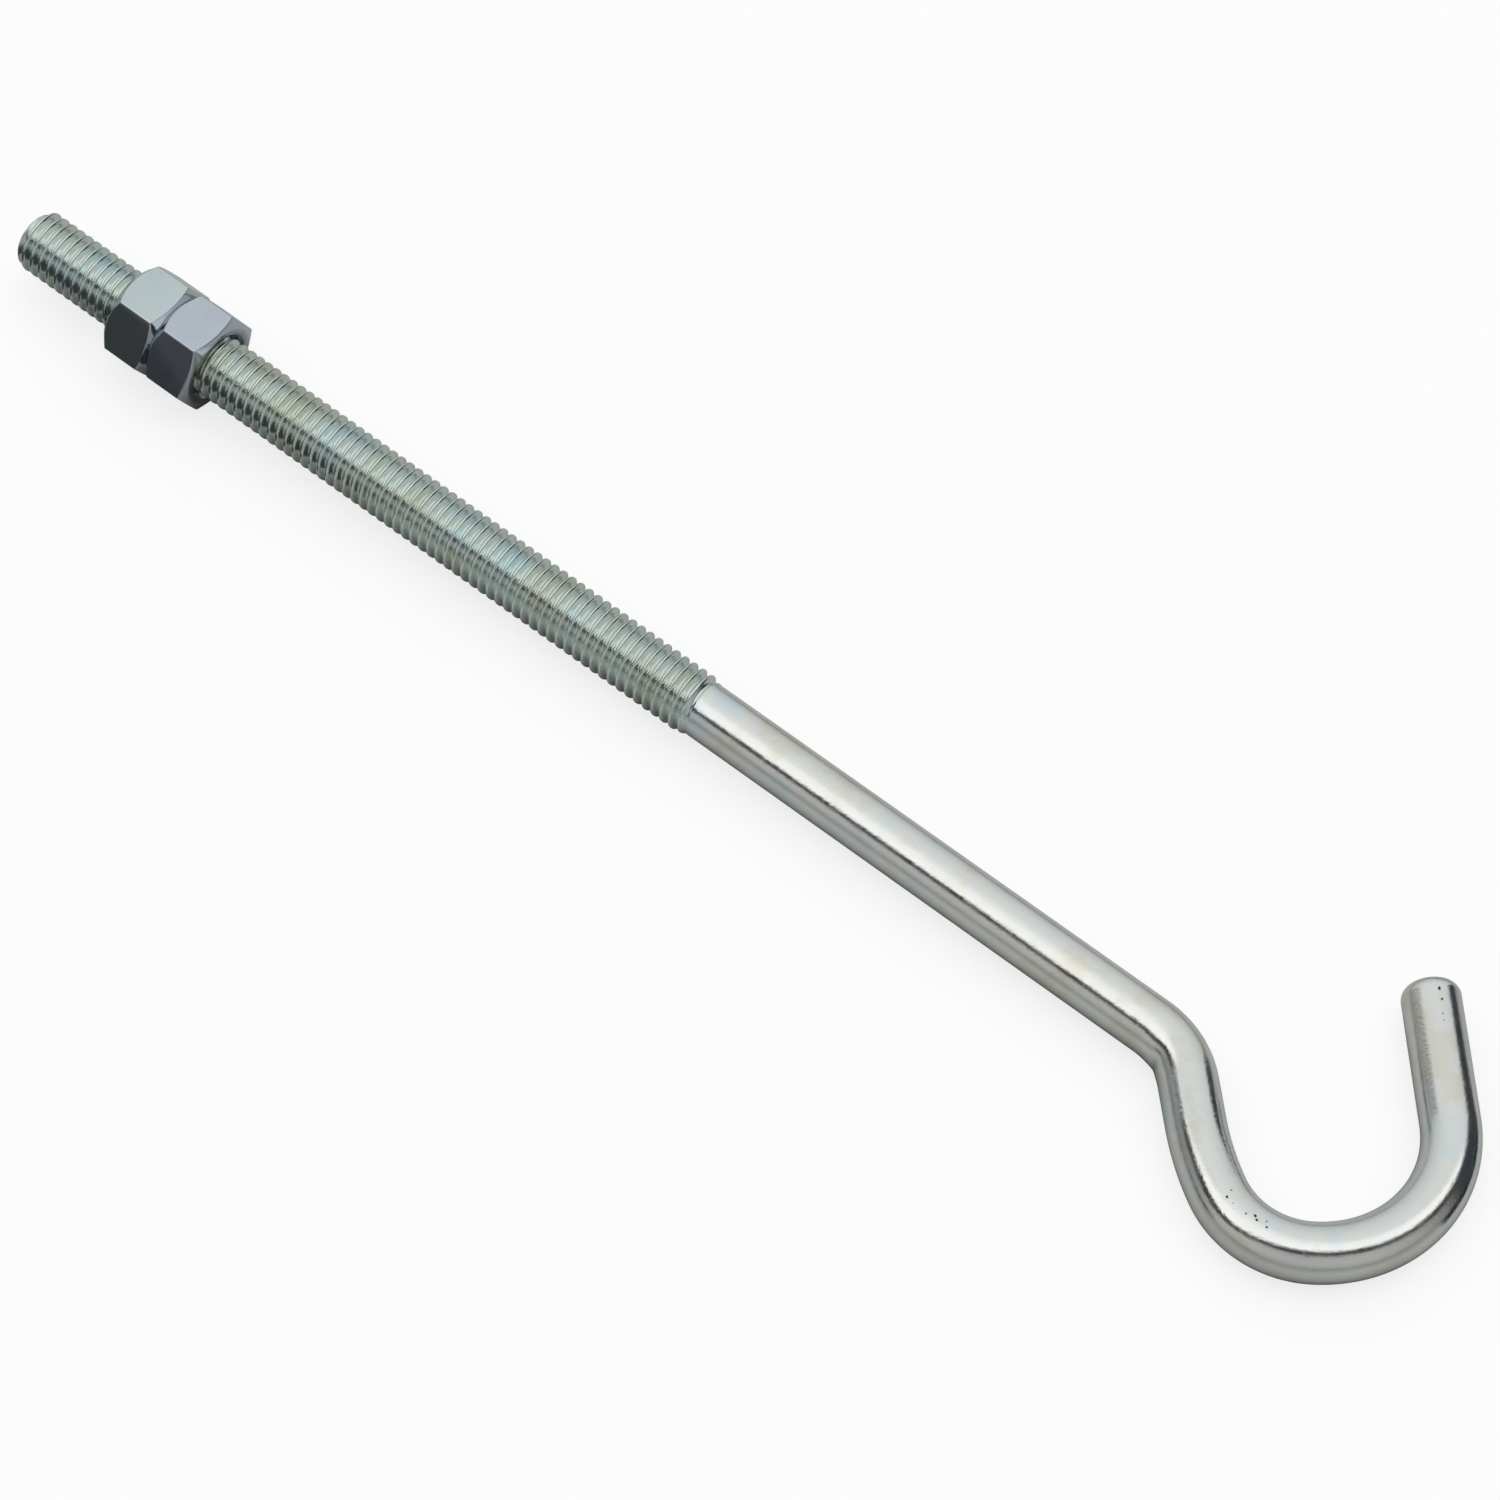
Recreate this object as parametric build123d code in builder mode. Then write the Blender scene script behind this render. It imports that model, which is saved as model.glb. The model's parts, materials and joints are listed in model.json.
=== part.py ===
from build123d import *
from math import asin, atan2, cos, degrees, hypot, radians, sin, tan
import os

# A 3/8-16 hook bolt with two nuts, ten inches over all, lying as it comes to rest: on its nuts and
# on the far side of its hook. All sizes are in millimetres. The threaded end is drawn full to the
# crests of its fine thread.

# ---- driving dimensions: rod and thread -------------------------------------------------------
overall_length = 254.0  # from the threaded tip to the far side of the hook
thread_length = 127.0
thread_diameter = 9.525
runout_length = 1.6  # one turn of the thread, over which it fades into the shank
tip_face_diameter = 7.4
tip_chamfer_angle = 45.0
shank_diameter = 8.4  # the rolled blank, close to the thread's pitch diameter
# ---- driving dimensions: hook, along the rod's centre line ------------------------------------
crank_radius = 12.8
crank_angle = 44.6
drop_length = 6.5  # straight between the crank and the bowl
lead_radius = 44.0
lead_angle = 13.7
heel_radius = 13.6
heel_angle = 66.7
toe_radius = 19.2
toe_angle = 96.8
tail_length = 21.1
tail_end_round = 2.1
# ---- driving dimensions: nuts -----------------------------------------------------------------
nut_across_flats = 14.29
nut_height = 8.2
nut_chamfer_circle = 12.8  # diameter of the flat ring left on each nut face
nut_chamfer_angle = 30.0
nut_bore_clearance = 0.05  # radial, over the crests of the thread
nut_countersink_diameter = 10.6
nut_countersink_angle = 30.0
outer_nut_setback = 19.6  # bare thread from the tip to the outer nut
outer_nut_turn = 2.0  # how far the outer nut is turned past the inner one

# ---- what follows from them -------------------------------------------------------------------
thread_radius = thread_diameter / 2
shank_radius = shank_diameter / 2
tip_face_radius = tip_face_diameter / 2
inner_nut_setback = outer_nut_setback + nut_height

# ---- the hook's centre line ---------------------------------------------------------------------
def draw_hook(start_x):
    """Crank, short drop, bowl and tail, drawn in the plane from the end of a straight shank."""
    crank = JernArc((start_x, 0), (1, 0), crank_radius, -crank_angle)
    drop = PolarLine(crank @ 1, drop_length, direction=crank % 1)
    lead = JernArc(drop @ 1, drop % 1, lead_radius, lead_angle)
    heel = JernArc(lead @ 1, lead % 1, heel_radius, heel_angle)
    toe = JernArc(heel @ 1, heel % 1, toe_radius, toe_angle)
    PolarLine(toe @ 1, tail_length, direction=toe % 1)


with BuildLine(Plane.XY) as hook_line:
    draw_hook(0)

hook_box = hook_line.line.bounding_box()
hook_reach = hook_box.max.X
straight_length = overall_length - shank_radius - hook_reach
hook_middle_y = (hook_box.min.Y - shank_radius + hook_box.max.Y + tail_end_round) / 2

# ---- how the bolt lies ------------------------------------------------------------------------
# Seen from the side, the shank slopes down from the nuts to the far side of the hook. It touches
# the ground there and either at the inner nut's flat, at its end next to the hook, or at the lower
# corner of the outer nut, whichever tilts it more.
hook_contact_x = straight_length + hook_reach
nut_flat_reach = nut_across_flats / 2
nut_corner_radius = nut_flat_reach / cos(radians(30))
nut_corner_reach = nut_corner_radius * cos(radians(30 - outer_nut_turn))


def chamfer_depth(radius):
    """How far a nut's chamfer has cut in from its face at this radius."""
    return (radius - nut_chamfer_circle / 2) * tan(radians(nut_chamfer_angle))


def slope_over(contact_x, reach):
    """The shank's slope in degrees, when a nut this big touches the ground this far along."""
    span = hook_contact_x - contact_x
    return degrees(atan2(reach, span) - asin(shank_radius / hypot(span, reach)))


outer_contact_x = inner_nut_setback - chamfer_depth(nut_corner_radius)
inner_contact_x = inner_nut_setback + nut_height - chamfer_depth(nut_flat_reach)
lie_angle = max(
    slope_over(outer_contact_x, nut_corner_reach),
    slope_over(inner_contact_x, nut_flat_reach),
)
slope_cos = cos(radians(lie_angle))
slope_sin = sin(radians(lie_angle))
tip_height = shank_radius + hook_contact_x * slope_sin
middle_x = (hook_contact_x * slope_cos + shank_radius) / 2

# The bolt's own plane: its X runs along the shank from the tip, and its Y lies in the hook.
bolt_plane = Plane(
    origin=(-middle_x, -hook_middle_y, tip_height),
    x_dir=(slope_cos, 0, -slope_sin),
    z_dir=(slope_sin, 0, slope_cos),
)
shank_axis = Axis(bolt_plane.origin, bolt_plane.x_dir)


def across_shank(distance):
    """The plane square to the shank, this far from the tip."""
    return Plane(
        origin=bolt_plane.from_local_coords((distance, 0, 0)),
        x_dir=bolt_plane.y_dir,
        z_dir=bolt_plane.x_dir,
    )


def hex_nut(setback, turn):
    """One double-chamfered hex nut, its outer face this far from the tip, turned on the thread."""
    circle_radius = nut_chamfer_circle / 2
    waist_radius = circle_radius + nut_height / 2 / tan(radians(nut_chamfer_angle))
    bore_radius = thread_radius + nut_bore_clearance
    countersink_radius = nut_countersink_diameter / 2
    countersink_depth = (countersink_radius - bore_radius) * tan(radians(nut_countersink_angle))
    far_face = setback + nut_height
    with BuildPart() as nut:
        with BuildSketch(across_shank(setback)):
            RegularPolygon(nut_across_flats / 2, 6, major_radius=False, rotation=turn)
        extrude(amount=nut_height)
        with BuildSketch(bolt_plane):
            with BuildLine():
                Polyline(
                    (setback, 0),
                    (setback, circle_radius),
                    (setback + nut_height / 2, waist_radius),
                    (far_face, circle_radius),
                    (far_face, 0),
                    close=True,
                )
            make_face()
        revolve(axis=shank_axis, mode=Mode.INTERSECT)
        with BuildSketch(bolt_plane):
            with BuildLine():
                Polyline(
                    (setback, 0),
                    (setback, countersink_radius),
                    (setback + countersink_depth, bore_radius),
                    (far_face - countersink_depth, bore_radius),
                    (far_face, countersink_radius),
                    (far_face, 0),
                    close=True,
                )
            make_face()
        revolve(axis=shank_axis, mode=Mode.SUBTRACT)
    return nut


# ---- hook bolt: one rod, threaded, cranked and hooked ------------------------------------------
with BuildLine(Plane.XY) as rod_line:
    Line((thread_length, 0), (straight_length, 0))
    draw_hook(straight_length)
rod_path = bolt_plane.from_local_coords(rod_line.line)

tip_chamfer_length = (thread_radius - tip_face_radius) / tan(radians(tip_chamfer_angle))

with BuildPart() as hook_bolt:
    with BuildSketch(bolt_plane):
        with BuildLine():
            Polyline(
                (0, 0),
                (0, tip_face_radius),
                (tip_chamfer_length, thread_radius),
                (thread_length - runout_length, thread_radius),
                (thread_length, shank_radius),
                (thread_length, 0),
                close=True,
            )
        make_face()
    revolve(axis=shank_axis)
    with BuildSketch(across_shank(thread_length)):
        Circle(shank_radius)
    sweep(path=rod_path)
    tail_face = hook_bolt.faces().sort_by_distance(rod_path.edges()[-1] @ 1)[0]
    fillet(tail_face.edges(), radius=tail_end_round)

outer_nut = hex_nut(outer_nut_setback, outer_nut_turn)
inner_nut = hex_nut(inner_nut_setback, 0.0)

# ---- labels and STEP files ----------------------------------------------------------------------
hook_bolt.part.label = "hook_bolt"
outer_nut.part.label = "outer_nut"
inner_nut.part.label = "inner_nut"
os.makedirs("parts", exist_ok=True)
export_step(hook_bolt.part, "parts/hook_bolt.step")
export_step(outer_nut.part, "parts/outer_nut.step")
export_step(inner_nut.part, "parts/inner_nut.step")
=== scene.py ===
"""A zinc plated gooseneck hook bolt with two nuts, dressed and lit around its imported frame."""

import json
import logging
import math
from dataclasses import dataclass, field
from enum import Enum

import bpy
import numpy as np
from mathutils import Matrix, Vector


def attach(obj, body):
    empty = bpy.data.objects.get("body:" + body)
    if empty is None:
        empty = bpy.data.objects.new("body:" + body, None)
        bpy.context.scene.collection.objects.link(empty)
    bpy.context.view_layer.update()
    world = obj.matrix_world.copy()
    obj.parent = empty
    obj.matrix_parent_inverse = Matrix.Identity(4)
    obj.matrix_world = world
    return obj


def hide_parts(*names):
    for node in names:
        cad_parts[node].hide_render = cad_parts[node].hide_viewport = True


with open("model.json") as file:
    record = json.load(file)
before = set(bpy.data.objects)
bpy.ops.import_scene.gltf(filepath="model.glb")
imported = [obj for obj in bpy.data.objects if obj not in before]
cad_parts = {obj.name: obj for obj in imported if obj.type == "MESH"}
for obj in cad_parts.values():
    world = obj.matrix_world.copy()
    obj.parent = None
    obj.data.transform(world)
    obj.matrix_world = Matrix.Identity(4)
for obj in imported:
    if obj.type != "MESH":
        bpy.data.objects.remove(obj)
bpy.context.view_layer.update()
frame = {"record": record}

LOG = logging.getLogger("hook_bolt")
MM = 0.001
INCH = 0.0254

Tree = bpy.types.NodeTree
Socket = bpy.types.NodeSocket
Stops = tuple[tuple[float, ...], ...]


# ---- colours and nodes ---------------------------------------------------------------------------
def linear(hex_colour: str) -> tuple[float, float, float, float]:
    """Turn an sRGB hex colour into linear light.

    Args:
        hex_colour: Six hex digits, with or without a leading #.

    Returns:
        Red, green, blue and an alpha of one.
    """
    digits = hex_colour.lstrip("#")
    channels = [int(digits[i:i + 2], 16) / 255 for i in (0, 2, 4)]
    light = [c / 12.92 if c <= 0.04045 else ((c + 0.055) / 1.055) ** 2.4 for c in channels]
    return (*light, 1.0)


def add_node(tree: Tree, kind: str, links: dict | None = None,
             values: dict | None = None, **settings: object) -> bpy.types.Node:
    """Add one node with its settings, its fixed inputs and what feeds it.

    A Mix node of colours takes its factor as input 0 and its colours as inputs 6 and 7, and
    gives the mixed colour as output 2.

    Args:
        tree: The node tree that gets the node.
        kind: The node's type name.
        links: For each input, the output socket that feeds it.
        values: For each input, its fixed value.
        settings: The node's own properties.

    Returns:
        The new node.
    """
    node = tree.nodes.new(kind)
    for name, value in settings.items():
        setattr(node, name, value)
    for key, value in (values or {}).items():
        node.inputs[key].default_value = value
    for key, socket in (links or {}).items():
        tree.links.new(socket, node.inputs[key])
    return node


def set_ramp(node: bpy.types.Node, stops: list[tuple[float, tuple]]) -> None:
    """Give a colour ramp its stops.

    Args:
        node: The colour ramp node.
        stops: Each stop's place from zero to one, and its colour with an alpha.
    """
    elements = node.color_ramp.elements
    while len(elements) > 1:
        elements.remove(elements[-1])
    elements[0].position, elements[0].color = stops[0]
    for place, colour in stops[1:]:
        elements.new(place).color = colour


# ---- finishes ------------------------------------------------------------------------------------
class Coordinates(Enum):
    """What a finish's patterns follow, by the name of the vertex attribute that holds it."""

    OBJECT = ""
    STRAIGHTENED = "unbent"


@dataclass(frozen=True)
class Pitting:
    """Small pits in a plated surface, where a vertex attribute says that it is worn."""

    attribute: str = "wear"
    colour: str = "#3F4140"
    spacing: float = 0.55 * MM
    depth: float = 0.05 * MM
    dullness: float = 0.4
    size: float = 0.95
    threshold: float = 0.42
    sharpness: float = 6.0

    def scatter(self, tree: Tree, where: Socket) -> Socket:
        """Scatter the pits.

        Each cell of a Voronoi pattern may hold one pit. Its radius, as a share of the cell,
        follows the cell's own random number times the wear, less a threshold, so that most
        cells have none.

        Args:
            tree: The material's nodes.
            where: Coordinates on the straightened rod.

        Returns:
            One inside a pit and zero elsewhere.
        """
        cells = add_node(tree, "ShaderNodeTexVoronoi", {"Vector": where},
                         {"Scale": 1 / self.spacing})
        chance = add_node(tree, "ShaderNodeSeparateColor", {0: cells.outputs["Color"]})
        wear = add_node(tree, "ShaderNodeAttribute", attribute_name=self.attribute)
        worn = add_node(tree, "ShaderNodeMath", {0: chance.outputs[0], 1: wear.outputs["Fac"]},
                        operation="MULTIPLY")
        size = add_node(tree, "ShaderNodeMath", {0: worn.outputs[0]},
                        {1: self.size, 2: -self.threshold}, operation="MULTIPLY_ADD")
        inside = add_node(tree, "ShaderNodeMath",
                          {0: size.outputs[0], 1: cells.outputs["Distance"]},
                          operation="SUBTRACT")
        sharp = add_node(tree, "ShaderNodeMath", {0: inside.outputs[0]},
                         {1: self.sharpness}, operation="MULTIPLY", use_clamp=True)
        return sharp.outputs[0]


@dataclass(frozen=True)
class ThreadTint:
    """The greener tint that the plate has on the rolled thread, up to the thread's end."""

    colour: str
    end: float
    blend: float = 0.5 * MM

    def apply(self, tree: Tree, where: Socket, colour: Socket) -> Socket:
        """Multiply the plate's colour by the tint on the thread.

        Args:
            tree: The material's nodes.
            where: Coordinates with the distance from the tip as x.
            colour: The plate's colour so far.

        Returns:
            The colour with the tint.
        """
        axes = add_node(tree, "ShaderNodeSeparateXYZ", {0: where})
        threaded = add_node(tree, "ShaderNodeMapRange", {"Value": axes.outputs["X"]},
                            {"From Min": self.end - self.blend, "From Max": self.end + self.blend,
                             "To Min": 1.0, "To Max": 0.0})
        mixed = add_node(tree, "ShaderNodeMix", {0: threaded.outputs["Result"], 6: colour},
                         {7: linear(self.colour)}, data_type="RGBA", blend_type="MULTIPLY")
        return mixed.outputs[2]


@dataclass(frozen=True)
class ZincPlate:
    """Electroplated zinc with a clear passivate on mild steel.

    The plate is a bluish white metal. Its passivate film is thin enough to show faint straw
    and blue clouds. What lies under it sets the gloss: a rolled rod stays slightly grainy and
    soft in its reflections, and the pressed flats of a nut are close to a mirror. The real
    grain is finer than a tenth of a millimetre and is drawn coarser, so that it shows.
    """

    name: str
    tint: str
    straw: str
    blue: str
    roughness: float
    roughness_spread: float
    cloud: float
    grain: float
    grain_depth: float
    coordinates: Coordinates = Coordinates.OBJECT
    pitting: Pitting | None = None
    thread_tint: ThreadTint | None = None

    def build(self) -> bpy.types.Material:
        """Make the node material.

        Returns:
            The material, ready for a piece's slot.
        """
        material = bpy.data.materials.new(self.name)
        material.use_nodes = True
        tree = material.node_tree
        tree.nodes.clear()
        if self.coordinates is Coordinates.OBJECT:
            where = add_node(tree, "ShaderNodeTexCoord").outputs["Object"]
        else:
            place = add_node(tree, "ShaderNodeAttribute", attribute_name=self.coordinates.value)
            where = place.outputs["Vector"]
        colour = self.film_colour(tree, where)
        roughness = self.dulled(tree, where)
        grain = add_node(tree, "ShaderNodeTexNoise", {"Vector": where},
                         {"Scale": 1 / self.grain, "Detail": 3.0, "Roughness": 0.65})
        bump = add_node(tree, "ShaderNodeBump", {"Height": grain.outputs["Fac"]},
                        {"Strength": 1.0, "Distance": self.grain_depth})
        if self.thread_tint:
            colour = self.thread_tint.apply(tree, where, colour)
        if self.pitting:
            pits = self.pitting.scatter(tree, where)
            colour = add_node(tree, "ShaderNodeMix", {0: pits, 6: colour},
                              {7: linear(self.pitting.colour)}, data_type="RGBA").outputs[2]
            roughness = add_node(tree, "ShaderNodeMath", {0: pits, 2: roughness},
                                 {1: self.pitting.dullness}, operation="MULTIPLY_ADD").outputs[0]
            bump = add_node(tree, "ShaderNodeBump", {"Height": pits, "Normal": bump.outputs[0]},
                            {"Strength": 1.0, "Distance": -self.pitting.depth})
        shader = add_node(tree, "ShaderNodeBsdfPrincipled",
                          {"Base Color": colour, "Roughness": roughness,
                           "Normal": bump.outputs["Normal"]},
                          {"Metallic": 1.0})
        add_node(tree, "ShaderNodeOutputMaterial", {"Surface": shader.outputs["BSDF"]})
        return material

    def film_colour(self, tree: Tree, where: Socket) -> Socket:
        """Cloud the plate: straw where a soft noise is low, blue where it is high.

        Args:
            tree: The material's nodes.
            where: The coordinates that the clouds follow.

        Returns:
            The colour of the plate under its film.
        """
        clouds = add_node(tree, "ShaderNodeTexNoise", {"Vector": where},
                          {"Scale": 1 / self.cloud, "Detail": 3.0, "Roughness": 0.55})
        film = add_node(tree, "ShaderNodeValToRGB", {"Fac": clouds.outputs["Fac"]})
        set_ramp(film, [(0.36, linear(self.straw)), (0.47, linear(self.tint)),
                        (0.55, linear(self.tint)), (0.66, linear(self.blue))])
        return film.outputs["Color"]

    def dulled(self, tree: Tree, where: Socket) -> Socket:
        """Vary the roughness in patches somewhat smaller than the clouds.

        Args:
            tree: The material's nodes.
            where: The coordinates that the patches follow.

        Returns:
            The roughness.
        """
        dull = add_node(tree, "ShaderNodeTexNoise", {"Vector": where},
                        {"Scale": 2.6 / self.cloud, "Detail": 4.0, "Roughness": 0.6})
        rough = add_node(tree, "ShaderNodeMapRange", {"Value": dull.outputs["Fac"]},
                         {"From Min": 0.3, "From Max": 0.7, "To Min": self.roughness,
                          "To Max": self.roughness + self.roughness_spread})
        return rough.outputs["Result"]


# ---- where the shank lies ------------------------------------------------------------------------
@dataclass(frozen=True)
class ShankFrame:
    """The bolt's own frame: x along the shank from the tip, y in the hook's plane."""

    tip: np.ndarray
    along: np.ndarray

    @classmethod
    def from_record(cls, record: dict) -> "ShankFrame":
        """Read the tip and the shank's direction from the thread's mount.

        Args:
            record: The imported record.

        Returns:
            The frame of the shank.
        """
        mount = next(m for m in record["mounts"] if m["name"] == "thread_end")
        along = -np.array(mount["axis"], float)
        return cls(np.array(mount["pos_m"], float), along / np.linalg.norm(along))

    def place(self, points: np.ndarray) -> np.ndarray:
        """Carry points from the shank's frame to the part's frame.

        Args:
            points: An array of x, y, z triples in metres.

        Returns:
            The same points in the part's frame.
        """
        side = np.array([0.0, 1.0, 0.0])
        axes = np.stack([self.along, side, np.cross(self.along, side)])
        return self.tip + points @ axes


# ---- the thread ----------------------------------------------------------------------------------
@dataclass(frozen=True)
class RolledThread:
    """A right-hand rolled thread, as a radius that depends on the place along and round it."""

    diameter: float = 0.375 * INCH
    pitch: float = INCH / 16
    depth: float = 0.97 * MM
    crest_land: float = 0.30 * MM
    softness: float = 0.05 * MM
    first_crest: float = 0.642

    def turns(self, along: np.ndarray, angle: np.ndarray) -> np.ndarray:
        """Count turns of the helix: whole numbers lie on the crest.

        Args:
            along: Distance from the tip.
            angle: Angle round the shank, in radians.

        Returns:
            Distance over the pitch, less the share of a turn and the first crest's place.
        """
        return along / self.pitch - angle / (2 * math.pi) - self.first_crest

    def radius(self, along: np.ndarray, angle: np.ndarray) -> np.ndarray:
        """Radius of the ridged surface.

        The flank falls from the crest land at 60 degrees to the axis. Two soft clamps, each the
        logarithm of one plus an exponential, round it into the root and into the crest.

        Args:
            along: Distance from the tip.
            angle: Angle round the shank, in radians.

        Returns:
            The radius at each place.
        """
        turn = self.turns(along, angle)
        off_crest = np.abs(turn - np.round(turn)) * self.pitch
        flank = self.depth - (off_crest - self.crest_land / 2) * math.tan(math.radians(60))
        above_root = np.logaddexp(0, flank / self.softness) * self.softness
        below_crest = np.logaddexp(0, (self.depth - above_root) / self.softness) * self.softness
        return self.diameter / 2 - below_crest


# ---- mesh helpers --------------------------------------------------------------------------------
def make_object(name: str, points: np.ndarray, faces: np.ndarray,
                material: bpy.types.Material) -> bpy.types.Object:
    """Put a finished surface into an object at the origin.

    Args:
        name: The piece's name.
        points: Vertex places in the part's frame, one row each.
        faces: Vertex numbers, one face to a row.
        material: The piece's finish.

    Returns:
        The new object, shaded smooth.
    """
    mesh = bpy.data.meshes.new(name)
    mesh.from_pydata(points.tolist(), [], faces.tolist())
    mesh.shade_smooth()
    mesh.materials.append(material)
    mesh.validate()
    piece = bpy.data.objects.new(name, mesh)
    bpy.context.scene.collection.objects.link(piece)
    return piece


def add_attribute(piece: bpy.types.Object, name: str, values: np.ndarray) -> None:
    """Store one number or one vector for each vertex.

    Args:
        piece: The mesh object.
        name: The attribute's name.
        values: One number, or one x, y, z row, for each vertex.
    """
    kind, field_name = ("FLOAT", "value") if values.ndim == 1 else ("FLOAT_VECTOR", "vector")
    attribute = piece.data.attributes.new(name, kind, "POINT")
    attribute.data.foreach_set(field_name, values.astype(np.float32).ravel())


# ---- hook bolt -----------------------------------------------------------------------------------
@dataclass(frozen=True)
class Bend:
    """One stretch of the rod's centre line: its length and how much it turns, left positive."""

    length: float
    turn: float = 0.0

    @classmethod
    def arc(cls, radius: float, degrees: float) -> "Bend":
        """A stretch of this radius that turns by this many degrees."""
        return cls(radius * abs(math.radians(degrees)), math.radians(degrees))


@dataclass(frozen=True)
class Patch:
    """A small area of the rod: where it is along and round it, and how far it spreads.

    Its place and length are in metres and its bearing and width in degrees. Its depth is in
    metres for a dent, and a share for wear.
    """

    place: float
    bearing: float
    length: float
    width: float
    depth: float


@dataclass
class HookBolt:
    """The rod: chamfered tip, rolled thread, plain shank, crank, bowl and tail in one piece."""

    finish: ZincPlate
    thread: RolledThread = field(default_factory=RolledThread)
    overall_length: float = 254.0 * MM
    thread_length: float = 127.0 * MM
    runout: float = 2.4 * MM
    shank_radius: float = 4.2 * MM
    tip_face_radius: float = 3.7 * MM
    tail_round: float = 2.1 * MM
    bends: tuple[Bend, ...] = (
        Bend.arc(12.8 * MM, -44.6),
        Bend(6.5 * MM),
        Bend.arc(44.0 * MM, 13.7),
        Bend.arc(13.6 * MM, 66.7),
        Bend.arc(19.2 * MM, 96.8),
        Bend(21.1 * MM),
    )
    pinch: Patch = Patch(place=210.4 * MM, bearing=176.0, length=1.5 * MM, width=34.0,
                         depth=0.34 * MM)
    worn: tuple[Patch, ...] = (
        Patch(place=238.0 * MM, bearing=94.0, length=6.5 * MM, width=20.0, depth=1.15),
        Patch(place=296.5 * MM, bearing=95.0, length=5.0 * MM, width=7.0, depth=1.25),
        Patch(place=272.0 * MM, bearing=100.0, length=16.0 * MM, width=26.0, depth=0.5),
        Patch(place=246.0 * MM, bearing=165.0, length=5.0 * MM, width=14.0, depth=0.7),
    )
    rows_per_pitch: int = 12
    columns: int = 64
    shank_row: float = 0.62 * MM
    end_row: float = 0.15 * MM
    spare_rows: int = 16

    def wear(self, run: np.ndarray, angle: np.ndarray) -> np.ndarray:
        """How pitted the rod is: a little in the bowl and along the tail.

        Each zone is a bell with a flat top along the rod times a plain bell round it.

        Args:
            run: Distance along the centre line from the tip.
            angle: Angle round the rod, in radians.

        Returns:
            Zero where the surface is good, one where it is most pitted.
        """
        total = np.zeros(np.broadcast(run, angle).shape)
        for zone in self.worn:
            off_run = (run - zone.place) / zone.length
            off_angle = (np.degrees(angle) - zone.bearing) / zone.width
            total += zone.depth * np.exp(-off_run**4 - off_angle**2)
        return total

    def hook_reach(self) -> float:
        """How far the hook's centre line goes past the straight shank."""
        length = sum(bend.length for bend in self.bends)
        centres, _ = self.centre_line(np.linspace(0, length, 4000), 0.0)
        return float(centres[:, 0].max())

    def centre_line(self, run: np.ndarray, straight: float) -> tuple[np.ndarray, np.ndarray]:
        """Follow the rod's centre line.

        Each stretch adds the integral of its direction: a chord along a straight, and along an
        arc the change of sine and cosine of the heading over the curvature.

        Args:
            run: Distances along the centre line from the tip.
            straight: Length of the straight rod before the hook.

        Returns:
            The points as x, y rows, and the heading at each, in radians.
        """
        stretches = (Bend(straight), *self.bends)
        points = np.zeros((*run.shape, 2))
        heading = np.zeros(run.shape)
        start, turned = 0.0, 0.0
        for bend in stretches:
            part = np.clip(run - start, 0, bend.length)
            if bend.turn:
                bent = part * bend.turn / bend.length
                radius = bend.length / bend.turn
                points[..., 0] += radius * (np.sin(turned + bent) - math.sin(turned))
                points[..., 1] += radius * (math.cos(turned) - np.cos(turned + bent))
                heading += bent
            else:
                points[..., 0] += part * math.cos(turned)
                points[..., 1] += part * math.sin(turned)
            start += bend.length
            turned += bend.turn
        return points, heading

    def rod_radius(self, run: np.ndarray, angle: np.ndarray, end: float) -> np.ndarray:
        """Radius of the rod at each place along and round it.

        The thread's radius fades into the shank's over the runout by a smooth step. The chamfer
        limits it at the tip, and a quarter circle at the tail. The inside of the crank is
        pinched a little, as a cold bend leaves it.

        Args:
            run: Distance along the centre line from the tip.
            angle: Angle round the rod, in radians.
            end: The centre line's whole length.

        Returns:
            The radius at each place.
        """
        fade = np.clip((run - self.thread_length + self.runout) / self.runout, 0, 1)
        fade = fade * fade * (3 - 2 * fade)
        ridged = self.thread.radius(run, angle)
        radius = ridged + (self.shank_radius - ridged) * fade
        radius = np.minimum(radius, self.tip_face_radius + run)
        off_run = (run - self.pinch.place) / self.pinch.length
        off_angle = (np.degrees(angle) - self.pinch.bearing) / self.pinch.width
        radius = radius - self.pinch.depth * np.exp(-off_run**2 - off_angle**2)
        into_round = np.clip(run - end + self.tail_round, 0, self.tail_round)
        drop = self.tail_round - np.sqrt(self.tail_round**2 - into_round**2)
        return radius - drop

    def rows(self, start: float, end: float) -> np.ndarray:
        """Places of the mesh rows along the profile: fine on the thread and at the tail's end.

        Args:
            start: The profile's first place, at the middle of the tip's face.
            end: Its last place, at the middle of the tail's face.

        Returns:
            The places in order, with one turn to spare at each end.
        """
        step = self.thread.pitch / self.rows_per_pitch
        first = math.floor((start - self.thread.pitch) / step) + self.thread.first_crest
        count = int((self.thread_length - start) / step) + self.spare_rows
        fine = (first + np.arange(count)) * step
        before_round = end - 2.2 * self.tail_round
        coarse = np.arange(fine[-1] + self.shank_row, before_round, self.shank_row)
        past_end = end + (self.rows_per_pitch + 2) * self.end_row
        close = np.arange(coarse[-1] + self.end_row, past_end, self.end_row)
        return np.concatenate([fine, coarse, close])

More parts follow.
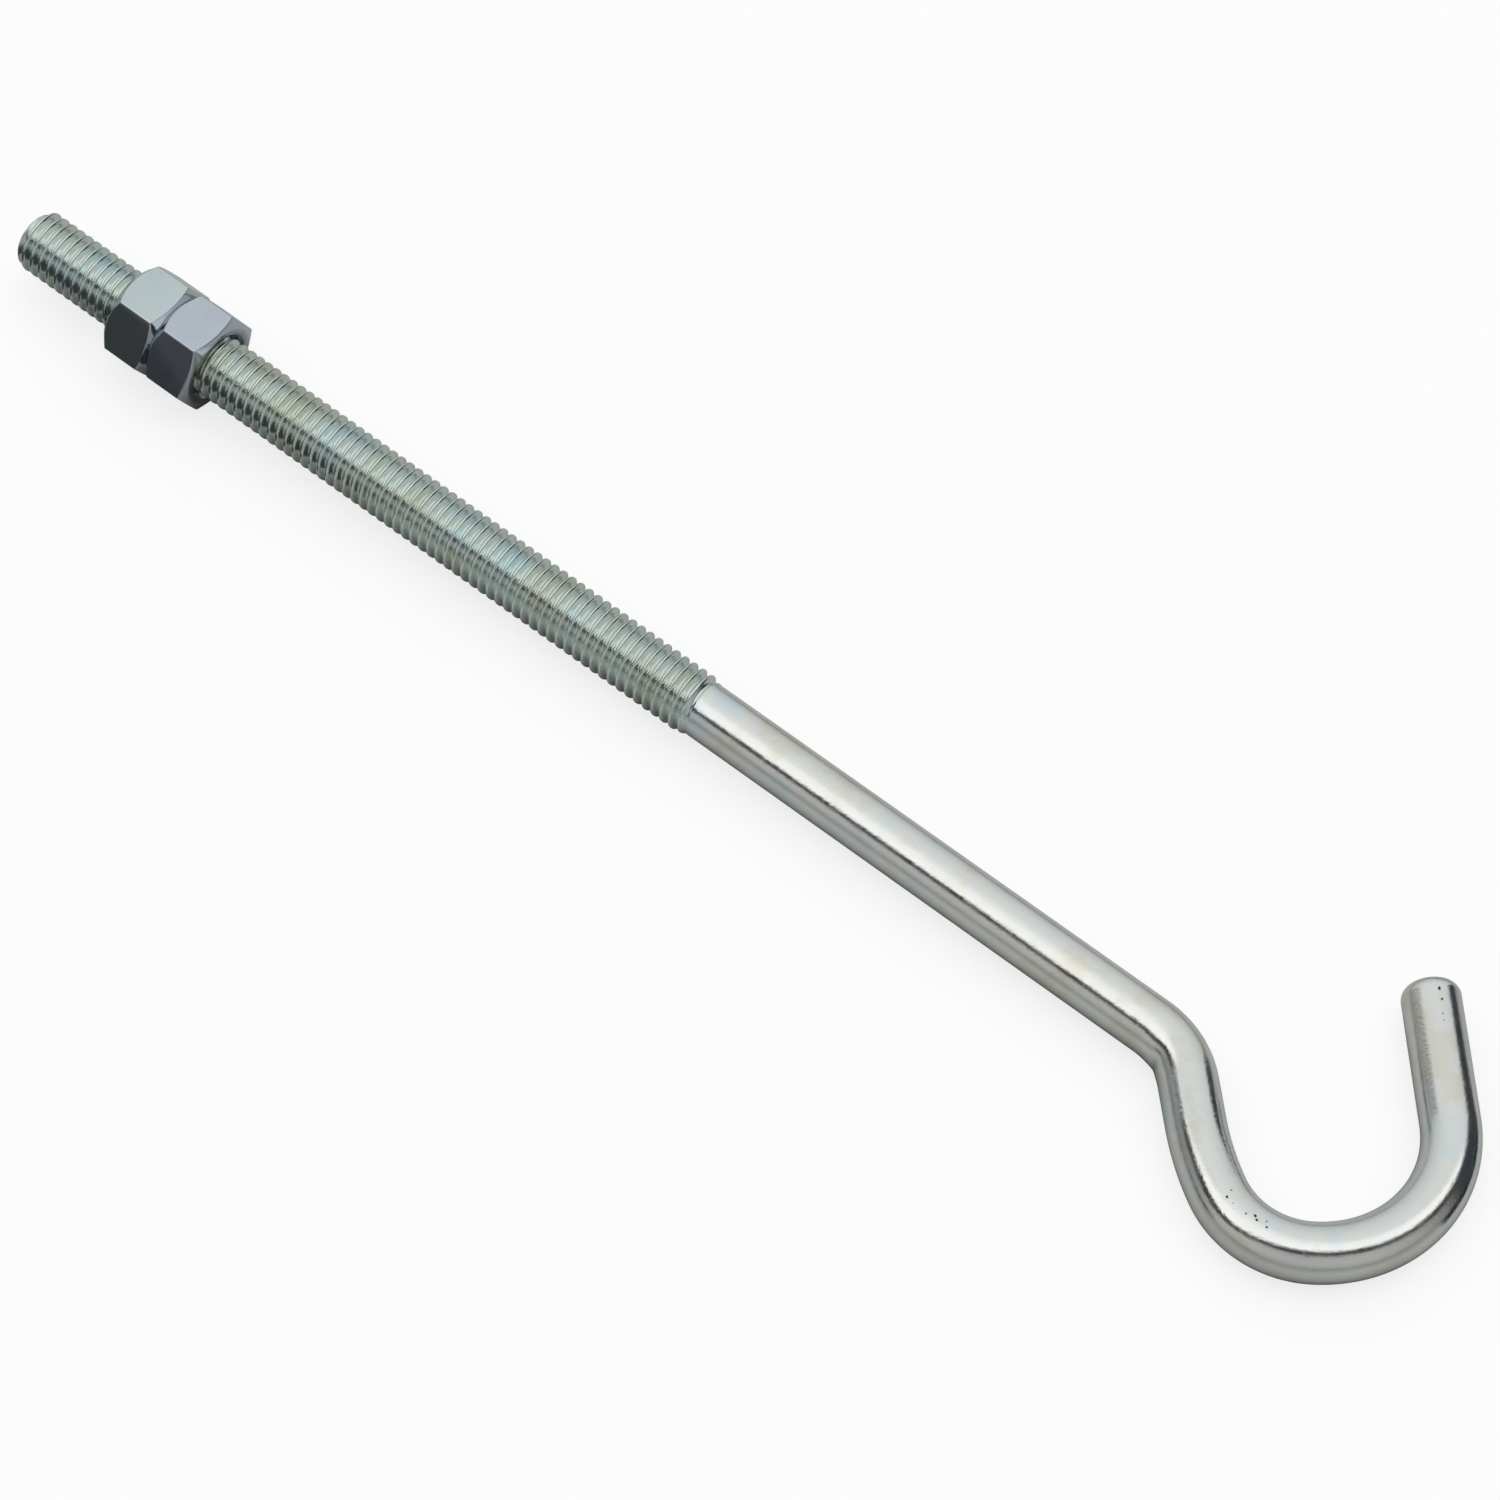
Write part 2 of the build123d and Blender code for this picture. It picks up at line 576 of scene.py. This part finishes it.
    def surface(self, shank: ShankFrame) -> tuple[np.ndarray, ...]:
        """The rod as a tube whose mesh rows follow the thread's helix.

        The profile starts at the middle of the tip's face and ends at the middle of the tail's.
        Each column starts a share of a turn further along than the one before it, so a row goes
        once round while it advances one pitch, and a crest is a line of the mesh.

        Args:
            shank: Where the shank lies.

        Returns:
            Points, triangles, the same points on the rod before it was bent, and their wear.
        """
        straight = self.overall_length - self.shank_radius - self.hook_reach()
        end = straight + sum(bend.length for bend in self.bends)
        tail_face = self.shank_radius - self.tail_round
        low, high = -self.tip_face_radius, end + tail_face
        rows = self.rows(low, high)
        line = np.arange(len(rows) - self.rows_per_pitch)[:, None]
        column = np.arange(self.columns)[None, :]
        sheared = line + self.rows_per_pitch * column / self.columns
        profile = np.interp(sheared, np.arange(len(rows)), rows)
        profile = np.clip(profile, low, high)
        angle = 2 * math.pi * column / self.columns + 0 * profile
        run = np.clip(profile, 0, end)
        radius = self.rod_radius(run, angle, end)
        radius = np.where(profile < 0, profile - low, radius)
        radius = np.where(profile > end, high - profile, radius)
        centres, heading = self.centre_line(run, straight)
        across = radius * np.cos(angle)
        points = np.stack([
            centres[..., 0] - np.sin(heading) * across,
            centres[..., 1] + np.cos(heading) * across,
            radius * np.sin(angle),
        ], axis=-1)
        unbent = np.stack([run, across, radius * np.sin(angle)], axis=-1)
        faces = self.triangles(profile, low, high)
        return (shank.place(points.reshape(-1, 3)), faces, unbent.reshape(-1, 3),
                self.wear(run, angle).ravel())

    def triangles(self, profile: np.ndarray, low: float, high: float) -> np.ndarray:
        """Join the helical grid, its seam and its two poles.

        Past the last column a row goes on as the row one turn later in the first column. Every
        vertex at a pole is one and the same, and a triangle that this flattens is left out.

        Args:
            profile: Each vertex's place along the profile.
            low: The place of the tip's pole.
            high: The place of the tail's pole.

        Returns:
            Vertex numbers, three to a row.
        """
        lines, columns = profile.shape
        number = np.arange(lines * columns).reshape(lines, columns)
        number = np.where(profile <= low, 0, number)
        number = np.where(profile >= high, lines * columns - 1, number)
        turn = self.rows_per_pitch
        wrapped = np.vstack([number[turn:, :1], np.full((turn, 1), lines * columns - 1)])
        grid = np.hstack([number, wrapped])
        first, right = grid[:-1, :-1], grid[:-1, 1:]
        above, far = grid[1:, :-1], grid[1:, 1:]
        joined = np.concatenate([
            np.stack([first, right, far], -1).reshape(-1, 3),
            np.stack([first, far, above], -1).reshape(-1, 3),
        ])
        a, b, c = joined.T
        return joined[(a != b) & (b != c) & (c != a)]

    def build(self, shank: ShankFrame) -> bpy.types.Object:
        """Make the piece and put it on its body.

        Args:
            shank: Where the shank lies.

        Returns:
            The finished piece.
        """
        points, faces, unbent, wear = self.surface(shank)
        used, faces = np.unique(faces, return_inverse=True)
        faces = faces.reshape(-1, 3)
        piece = make_object("bolt_rod", points[used], faces, self.finish.build())
        add_attribute(piece, Coordinates.STRAIGHTENED.value, unbent[used])
        add_attribute(piece, Pitting.attribute, wear[used])
        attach(piece, "bolt")
        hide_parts("hook_bolt")
        LOG.info("bolt_rod: %d triangles", len(faces))
        return piece


# ---- nuts ----------------------------------------------------------------------------------------
@dataclass
class HexNut:
    """A pressed hex nut, chamfered and countersunk on both faces, with its internal thread."""

    name: str
    body: str
    node: str
    slot: str
    finish: ZincPlate
    setback: float
    turn: float
    thread: RolledThread = field(default_factory=RolledThread)
    across_flats: float = 14.29 * MM
    height: float = 8.2 * MM
    chamfer_radius: float = 6.55 * MM
    tip_chamfer_angle: float = 43.0
    hook_chamfer_angle: float = 26.0
    countersink_radius: float = 5.55 * MM
    countersink_angle: float = 42.0
    minor_radius: float = 4.03 * MM
    major_radius: float = 4.81 * MM
    clearance: float = 0.05 * MM
    corner_round: float = 0.30 * MM
    edge_round: float = 0.12 * MM
    flat_columns: int = 12
    corner_columns: int = 5
    bore_rows: int = 124
    edge_points: int = 5

    def outline(self) -> tuple[np.ndarray, np.ndarray]:
        """The hexagon with rounded corners, once round.

        Each side is a straight run of columns, and each corner an arc that is tangent to both
        of its sides.

        Returns:
            Distance from the axis and angle round it, for each column.
        """
        half = self.across_flats / 2
        corner_at = math.radians(30)
        inset = (half - self.corner_round) / math.cos(corner_at)
        side = (half - self.corner_round) * math.tan(corner_at)
        spread = np.linspace(-side, side, self.flat_columns)
        swing = np.linspace(-corner_at, corner_at, self.corner_columns + 2)[1:-1]
        flat = np.stack([np.full_like(spread, half), spread], -1)
        arc = np.stack([
            inset * math.cos(corner_at) + self.corner_round * np.cos(corner_at + swing),
            inset * math.sin(corner_at) + self.corner_round * np.sin(corner_at + swing),
        ], -1)
        sixth = np.concatenate([flat, arc])
        starts = np.radians(np.arange(6) * 60 + 30 + self.turn)
        turned = (sixth[:, 0] + 1j * sixth[:, 1])[None, :] * np.exp(1j * starts)[:, None]
        ring = turned.ravel()
        return np.abs(ring), np.unwrap(np.angle(ring))

    def profile(self, reach: np.ndarray, angle: np.ndarray) -> np.ndarray:
        """The nut's section in each column, as a closed loop of depth and radius.

        Each chamfer is a cone, the steeper one on the side of the tip, so where it meets a flat
        follows from how far out the flat is in that column. Each outer edge is rounded by a
        curve between points a little before and after it. The bore is the bolt's own thread
        form, opened by the clearance, and the countersink wins wherever it is wider.

        Args:
            reach: The hexagon's distance from the axis in each column.
            angle: The column's angle round the axis.

        Returns:
            An array of loop points by columns by two.
        """
        outside = reach - self.chamfer_radius
        tip_depth = outside * math.tan(math.radians(self.tip_chamfer_angle))
        hook_depth = outside * math.tan(math.radians(self.hook_chamfer_angle))
        zero = np.zeros_like(reach)
        outer = [
            (zero, zero + self.countersink_radius),
            (zero, zero + self.chamfer_radius),
            (tip_depth, reach),
            (self.height - hook_depth, reach),
            (zero + self.height, zero + self.chamfer_radius),
            (zero + self.height, zero + self.countersink_radius),
        ]
        corners = [np.stack(pair, -1) for pair in outer]
        loop = [corners[0][None]]
        for before, corner, after in zip(corners[:-2], corners[1:-1], corners[2:]):
            loop.append(self.rounded(before, corner, after))
        loop.append(corners[-1][None])
        depths = np.linspace(self.height, 0, self.bore_rows)[1:-1, None] + zero[None]
        ridged = self.thread.radius(self.setback + depths, angle[None]) + self.clearance
        ridged = np.clip(ridged, self.minor_radius, self.major_radius)
        from_face = np.minimum(depths, self.height - depths)
        slope = math.tan(math.radians(self.countersink_angle))
        sunk = self.countersink_radius - from_face / slope
        loop.append(np.stack([depths, np.maximum(ridged, sunk)], -1))
        return np.concatenate(loop)

    def rounded(self, before: np.ndarray, corner: np.ndarray, after: np.ndarray) -> np.ndarray:
        """Round one edge of the section.

        The curve is the quadratic one through a point before the corner and a point after it,
        pulled towards the corner.

        Args:
            before: The section's last point, in each column.
            corner: The corner itself.
            after: The section's next point.

        Returns:
            The curve's points in each column.
        """
        def step(towards: np.ndarray) -> np.ndarray:
            """The point this edge's round away from the corner."""
            way = towards - corner
            return corner + way / np.linalg.norm(way, axis=-1, keepdims=True) * self.edge_round

        share = np.linspace(0, 1, self.edge_points)[:, None, None]
        return ((1 - share)**2 * step(before)[None] + 2 * share * (1 - share) * corner[None]
                + share**2 * step(after)[None])

    def build(self, shank: ShankFrame) -> bpy.types.Object:
        """Make the piece and put it on its body.

        Args:
            shank: Where the shank lies.

        Returns:
            The finished piece.
        """
        reach, angle = self.outline()
        loop = self.profile(reach, angle)
        depth, radius = loop[..., 0], loop[..., 1]
        turned = angle[None] + 0 * depth
        points = np.stack([self.setback + depth, radius * np.cos(turned),
                           radius * np.sin(turned)], -1)
        count, columns = depth.shape
        number = np.arange(count * columns).reshape(count, columns)
        above = np.roll(number, -1, axis=0)
        faces = np.stack([number, np.roll(number, -1, axis=1),
                          np.roll(above, -1, axis=1), above], -1).reshape(-1, 4)
        piece = make_object(self.name, shank.place(points.reshape(-1, 3)), faces,
                            self.finish.build())
        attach(piece, self.body)
        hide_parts(self.node)
        LOG.info("%s: %d quads", self.name, len(faces))
        return piece


# ---- studio --------------------------------------------------------------------------------------
@dataclass(frozen=True)
class Flag:
    """A dark card that only the metal sees, which gives it something dark to reflect."""

    name: str
    corners: tuple[tuple[float, float, float], ...]
    colour: str

    def build(self) -> None:
        """Make the card and hide it from everything but reflections."""
        material = bpy.data.materials.new(self.name)
        material.use_nodes = True
        tree = material.node_tree
        tree.nodes.clear()
        felt = add_node(tree, "ShaderNodeBsdfDiffuse", values={"Color": linear(self.colour)})
        add_node(tree, "ShaderNodeOutputMaterial", {"Surface": felt.outputs[0]})
        card = make_object(self.name, np.array(self.corners), np.array([[0, 1, 2, 3]]), material)
        card.visible_camera = False
        card.visible_diffuse = False
        card.visible_shadow = False


FLAGS = (
    Flag("nut_flag", ((-0.155, -0.017, 0.0003), (-0.65, -0.60, 0.0003),
                      (-0.40, -0.86, 0.0003), (-0.060, -0.017, 0.0003)), "#515253"),
    Flag("nut_flag_upright", ((-0.32, -0.29, 0.0), (-0.14, -0.39, 0.0),
                              (-0.14, -0.39, 0.055), (-0.32, -0.29, 0.055)), "#85878A"),
    Flag("tail_flag", ((0.143, 0.002, 0.0003), (0.80, 0.27, 0.0003),
                       (0.22, 0.80, 0.0003), (0.130, 0.036, 0.0003)), "#3B3F43"),
)


@dataclass(frozen=True)
class Table:
    """The pale table that the bolt lies on.

    The camera sees it white with the bolt's soft shadow. In reflections the metal sees light and
    shade painted on it: a painted pool of light, palest round the bolt and falling off further
    out, and a painted contact shadow right under the bolt. Distances are measured from a
    rectangle as long and wide as the bolt.
    """

    size: float = 6.0
    colour: str = "#9C9E9B"
    # painted light: in reflections the table is palest near the bolt and darker further out, a
    # painted pool of light
    painted_light_near_colour: str = "#D6D8D5"
    painted_light_far_colour: str = "#B4B6B4"
    # painted contact shadow: the table's dark reflected colour right under the bolt, and how far it
    # reaches
    painted_contact_shadow_colour: str = "#5E605E"
    bolt_half: tuple[float, float, float] = (0.13, 0.02, 0.0)
    near: float = 4.0 * MM
    far: float = 45.0 * MM
    contact_shadow_reach: float = 12.0 * MM
    glow: float = 0.76
    glossy_glow: float = 0.02

    def build(self) -> None:
        """Lay the table and dress it."""
        material = bpy.data.materials.new("pale_table")
        material.use_nodes = True
        tree = material.node_tree
        tree.nodes.clear()
        paths = add_node(tree, "ShaderNodeLightPath")
        # glossy rays see the table with its painted pool of light and painted contact shadow
        tone = add_node(tree, "ShaderNodeMix", {0: paths.outputs["Is Glossy Ray"],
                                                7: self.painted_reflected_light(tree)},
                        {6: linear(self.colour)}, data_type="RGBA")
        paper = add_node(tree, "ShaderNodeBsdfDiffuse", {"Color": tone.outputs[2]})
        glow = add_node(tree, "ShaderNodeEmission", {"Strength": self.lift(tree, paths)})
        both = add_node(tree, "ShaderNodeAddShader", {0: paper.outputs[0], 1: glow.outputs[0]})
        add_node(tree, "ShaderNodeOutputMaterial", {"Surface": both.outputs[0]})
        half = self.size / 2
        corners = np.array([[-half, -half, 0], [half, -half, 0], [half, half, 0], [-half, half, 0]])
        floor = make_object("table", corners, np.array([[0, 1, 2, 3]]), material)

    def lift(self, tree: Tree, paths: bpy.types.Node) -> Socket:
        """The glow that makes the table white, for the camera and through anything clear.

        Args:
            tree: The table's nodes.
            paths: Its Light Path node.

        Returns:
            The strength of the glow.
        """
        camera = add_node(tree, "ShaderNodeMath", {0: paths.outputs["Is Camera Ray"]},
                          {1: self.glow}, operation="MULTIPLY")
        glossy = add_node(tree, "ShaderNodeMath", {0: paths.outputs["Is Glossy Ray"],
                                                   2: camera.outputs[0]},
                          {1: self.glossy_glow}, operation="MULTIPLY_ADD")
        clear = add_node(tree, "ShaderNodeMath", {0: paths.outputs["Is Transmission Ray"],
                                                  2: glossy.outputs[0]},
                         {1: self.glow}, operation="MULTIPLY_ADD")
        return clear.outputs[0]

    def painted_reflected_light(self, tree: Tree) -> Socket:
        """The table's painted light in reflections: a painted pool of light that fades with the
        distance from the bolt, and a painted contact shadow where the bolt is close.

        Args:
            tree: The table's nodes.

        Returns:
            The colour.
        """
        where = add_node(tree, "ShaderNodeTexCoord").outputs["Object"]
        mirrored = add_node(tree, "ShaderNodeVectorMath", {0: where}, operation="ABSOLUTE")
        offset = add_node(tree, "ShaderNodeVectorMath", {0: mirrored.outputs[0]},
                          {1: self.bolt_half}, operation="SUBTRACT")
        beyond = add_node(tree, "ShaderNodeVectorMath", {0: offset.outputs[0]},
                          {1: (0.0, 0.0, 0.0)}, operation="MAXIMUM")
        away = add_node(tree, "ShaderNodeVectorMath", {0: beyond.outputs[0]}, operation="LENGTH")
        share = add_node(tree, "ShaderNodeMapRange", {"Value": away.outputs["Value"]},
                         {"From Min": self.near, "From Max": self.far})
        # painted pool of light: the reflected colour fades from the pale near colour to the far
        # colour away from the bolt
        shade = add_node(tree, "ShaderNodeMix", {0: share.outputs[0]},
                         {6: linear(self.painted_light_near_colour), 7: linear(self.painted_light_far_colour)},
                         data_type="RGBA")
        # painted contact shadow: ambient occlusion darkens the reflected colour where the bolt is
        # close
        sky = add_node(tree, "ShaderNodeAmbientOcclusion", values={"Distance": self.contact_shadow_reach},
                       samples=4)
        unshadowed_share = add_node(tree, "ShaderNodeMapRange", {"Value": sky.outputs["AO"]},
                                 {"From Min": 0.3, "From Max": 0.92})
        return add_node(tree, "ShaderNodeMix", {0: unshadowed_share.outputs[0], 7: shade.outputs[2]},
                        {6: linear(self.painted_contact_shadow_colour)}, data_type="RGBA").outputs[2]


class SkyNodes:
    """Node sockets that follow the direction looked in, and ramps that follow those."""

    def __init__(self, tree: Tree) -> None:
        """Work out the bearing, as a share of a turn from minus 180 degrees, and the height.

        Args:
            tree: The world's nodes.
        """
        self.tree = tree
        direction = add_node(tree, "ShaderNodeTexCoord").outputs["Generated"]
        axes = add_node(tree, "ShaderNodeSeparateXYZ", {0: direction})
        azimuth = add_node(tree, "ShaderNodeMath", {0: axes.outputs["Y"], 1: axes.outputs["X"]},
                           operation="ARCTAN2")
        bearing = add_node(tree, "ShaderNodeMath", {0: azimuth.outputs[0]},
                           {1: 1 / (2 * math.pi), 2: 0.5}, operation="MULTIPLY_ADD")
        height = add_node(tree, "ShaderNodeMath", {0: axes.outputs["Z"]}, operation="ARCSINE")
        degrees = add_node(tree, "ShaderNodeMath", {0: height.outputs[0]},
                           {1: 180 / math.pi}, operation="MULTIPLY")
        self.bearing = bearing.outputs[0]
        self.height = degrees.outputs[0]

    def by_bearing(self, stops: Stops) -> Socket:
        """A value from zero to one that follows the bearing.

        Args:
            stops: Each stop's bearing in degrees and its value.

        Returns:
            The value.
        """
        ramp = add_node(self.tree, "ShaderNodeValToRGB", {"Fac": self.bearing})
        set_ramp(ramp, [((bearing + 180) / 360, (value, value, value, 1))
                        for bearing, value in stops])
        return ramp.outputs["Color"]

    def edge_height(self, stops: Stops) -> Socket:
        """A height in degrees that follows the bearing.

        Args:
            stops: Each stop's bearing and height in degrees.

        Returns:
            The height in degrees.
        """
        share = self.by_bearing(tuple((bearing, height / 90) for bearing, height in stops))
        return add_node(self.tree, "ShaderNodeMath", {0: share}, {1: 90.0},
                        operation="MULTIPLY").outputs[0]

    def above(self, higher: Socket, lower: Socket) -> Socket:
        """How many degrees one height is above another."""
        return add_node(self.tree, "ShaderNodeMath", {0: higher, 1: lower},
                        operation="SUBTRACT").outputs[0]

    def by_degrees(self, degrees: Socket, stops: Stops) -> Socket:
        """A colour that follows an angle.

        Args:
            degrees: The angle.
            stops: Each stop's angle, then its red, green and blue.

        Returns:
            The colour.
        """
        low, high = stops[0][0], stops[-1][0]
        share = add_node(self.tree, "ShaderNodeMapRange", {"Value": degrees},
                         {"From Min": low, "From Max": high})
        ramp = add_node(self.tree, "ShaderNodeValToRGB", {"Fac": share.outputs[0]})
        set_ramp(ramp, [((place - low) / (high - low), (*colour, 1)) for place, *colour in stops])
        return ramp.outputs["Color"]


@dataclass(frozen=True)
class Room:
    """The room round the table, as light that depends on the direction looked in.

    The softbox covers what lies above its edge. Just under the edge is the box's dark rim, and
    below that the grey room, darker towards some bearings. Away from the camera a white sweep
    comes down to the table, and one dark gap stands beside it. Bearings and heights are in
    degrees, and colours in linear light.
    """

    strength: float = 1.18
    box_edge: Stops = ((-180, 38), (-165, 38), (-150, 41), (-118, 42), (-106, 49), (-90, 60),
                       (-70, 65), (-45, 66.5), (-20, 64.5), (0, 60), (15, 53), (30, 47),
                       (45, 42), (62, 36), (180, 36))
    box_over_edge: Stops = ((-18, 0.20, 0.20, 0.20), (-13, 0.05, 0.05, 0.05),
                            (-3, 0.025, 0.025, 0.025), (-1, 0.05, 0.05, 0.05),
                            (2, 1.0, 1.0, 1.0), (14, 1.0, 1.0, 1.0), (28, 0.93, 0.93, 0.92))
    rim_share: Stops = ((-20, 0, 0, 0), (-15, 1, 1, 1))
    grey_by_height: Stops = ((-30, 0.178, 0.180, 0.177), (-12, 0.257, 0.260, 0.256),
                             (0, 0.347, 0.350, 0.345), (12, 0.416, 0.420, 0.414),
                             (28, 0.446, 0.450, 0.443), (50, 0.396, 0.400, 0.394))
    grey_by_bearing: Stops = ((-180, 0.75), (-168, 0.5), (-150, 0.6), (-132, 0.85), (-115, 1.0),
                              (-60, 0.9), (-15, 0.95), (0, 0.86), (15, 0.75), (30, 0.45),
                              (38, 0.2))
    sweep_by_height: Stops = ((-20, 0.31, 0.32, 0.32), (0, 0.41, 0.42, 0.42),
                              (20, 0.55, 0.57, 0.57), (45, 0.65, 0.67, 0.67),
                              (68, 0.70, 0.72, 0.72), (80, 0.86, 0.87, 0.86))
    sweep_by_bearing: Stops = ((-180, 1), (-172, 1), (-164, 0), (60, 0), (70, 1), (180, 1))
    gap_top: Stops = ((34, 0), (42, 40), (58, 37), (68, 32), (76, 22), (81, 0))
    gap_under_top: Stops = ((-3, 0, 0, 0), (3, 1, 1, 1))
    gap_colour: tuple[float, ...] = (0.035, 0.04, 0.05, 1)

    def build(self) -> None:
        """Make the world: the room for the metal, plain white for the camera."""
        world = bpy.data.worlds.new("studio")
        bpy.context.scene.world = world
        world.use_nodes = True
        tree = world.node_tree
        tree.nodes.clear()
        paths = add_node(tree, "ShaderNodeLightPath")
        room = add_node(tree, "ShaderNodeBackground", {"Color": self.surroundings(tree)},
                        {"Strength": self.strength})
        white = add_node(tree, "ShaderNodeBackground", values={"Color": (1, 1, 1, 1)})
        pick = add_node(tree, "ShaderNodeMixShader", {0: paths.outputs["Is Camera Ray"],
                                                      1: room.outputs[0], 2: white.outputs[0]})
        add_node(tree, "ShaderNodeOutputWorld", {"Surface": pick.outputs[0]})

    def surroundings(self, tree: Tree) -> Socket:
        """Join softbox, grey room, sweep and gap.

        Args:
            tree: The world's nodes.

        Returns:
            The colour in every direction.
        """
        sky = SkyNodes(tree)
        over_edge = sky.above(sky.height, sky.edge_height(self.box_edge))
        grey = add_node(tree, "ShaderNodeMix",
                        {6: sky.by_degrees(sky.height, self.grey_by_height),
                         7: sky.by_bearing(self.grey_by_bearing)},
                        {0: 1.0}, data_type="RGBA", blend_type="MULTIPLY")
        front = add_node(tree, "ShaderNodeMix",
                         {0: sky.by_degrees(over_edge, self.rim_share), 6: grey.outputs[2],
                          7: sky.by_degrees(over_edge, self.box_over_edge)}, data_type="RGBA")
        around = add_node(tree, "ShaderNodeMix",
                          {0: sky.by_bearing(self.sweep_by_bearing), 6: front.outputs[2],
                           7: sky.by_degrees(sky.height, self.sweep_by_height)},
                          data_type="RGBA")
        under_top = sky.above(sky.edge_height(self.gap_top), sky.height)
        return add_node(tree, "ShaderNodeMix",
                        {0: sky.by_degrees(under_top, self.gap_under_top), 6: around.outputs[2]},
                        {7: self.gap_colour}, data_type="RGBA").outputs[2]


@dataclass(frozen=True)
class Camera:
    """The camera that looks down on the bolt from the hook's side."""

    place: tuple[float, float, float] = (0.24797, -0.35588, 0.65727)
    forward: tuple[float, float, float] = (-0.307945, 0.449489, -0.838528)
    upward: tuple[float, float, float] = (-0.544311, 0.639632, 0.542767)
    sensor: float = 36.0
    lens: float = 133.416

    def build(self) -> bpy.types.Object:
        """Make the camera and choose it for the scene.

        Returns:
            The camera object.
        """
        data = bpy.data.cameras.new("camera")
        data.sensor_width = self.sensor
        data.lens = self.lens
        data.clip_start, data.clip_end = 0.01, 20.0
        back = -Vector(self.forward).normalized()
        right = Vector(self.upward).cross(back).normalized()
        turned = Matrix((right, back.cross(right), back)).transposed()
        camera = bpy.data.objects.new("camera", data)
        camera.matrix_world = Matrix.Translation(self.place) @ turned.to_4x4()
        bpy.context.scene.collection.objects.link(camera)
        bpy.context.scene.camera = camera
        return camera


# ---- main ----------------------------------------------------------------------------------------
ROD_ZINC = ZincPlate(name="zinc_plated_rod", tint="#E4E5E2", straw="#DFDDD3", blue="#DBE3E6",
                     roughness=0.10, roughness_spread=0.10, cloud=7.0 * MM, grain=0.50 * MM,
                     grain_depth=0.026 * MM, coordinates=Coordinates.STRAIGHTENED,
                     pitting=Pitting(), thread_tint=ThreadTint("#F2FBF9", 127.0 * MM))
OUTER_ZINC = ZincPlate(name="zinc_plated_outer_nut", tint="#C8D3D6", straw="#CBD3D4",
                       blue="#C3D0D5", roughness=0.06, roughness_spread=0.05, cloud=5.0 * MM,
                       grain=0.35 * MM, grain_depth=0.0012 * MM)
INNER_ZINC = ZincPlate(name="zinc_plated_inner_nut", tint="#C3C9D3", straw="#C8CAD2",
                       blue="#BEC5D3", roughness=0.06, roughness_spread=0.05, cloud=5.0 * MM,
                       grain=0.35 * MM, grain_depth=0.0012 * MM)


def main() -> None:
    """Build every piece, the studio and the camera, and note the sizes."""
    logging.basicConfig(level=logging.INFO, format="%(name)s %(message)s")
    bpy.context.scene.view_settings.view_transform = "Standard"
    shank = ShankFrame.from_record(frame["record"])
    HookBolt(finish=ROD_ZINC).build(shank)
    HexNut(name="nut_outer", body="outer_nut", node="outer_nut", slot="outer_nut_zinc",
           finish=OUTER_ZINC, setback=19.6 * MM, turn=2.0).build(shank)
    HexNut(name="nut_inner", body="inner_nut", node="inner_nut", slot="inner_nut_zinc",
           finish=INNER_ZINC, setback=27.8 * MM, turn=0.0).build(shank)
    Table().build()
    for flag in FLAGS:
        flag.build()
    Room().build()
    Camera().build()


if __name__ == "__main__":
    main()
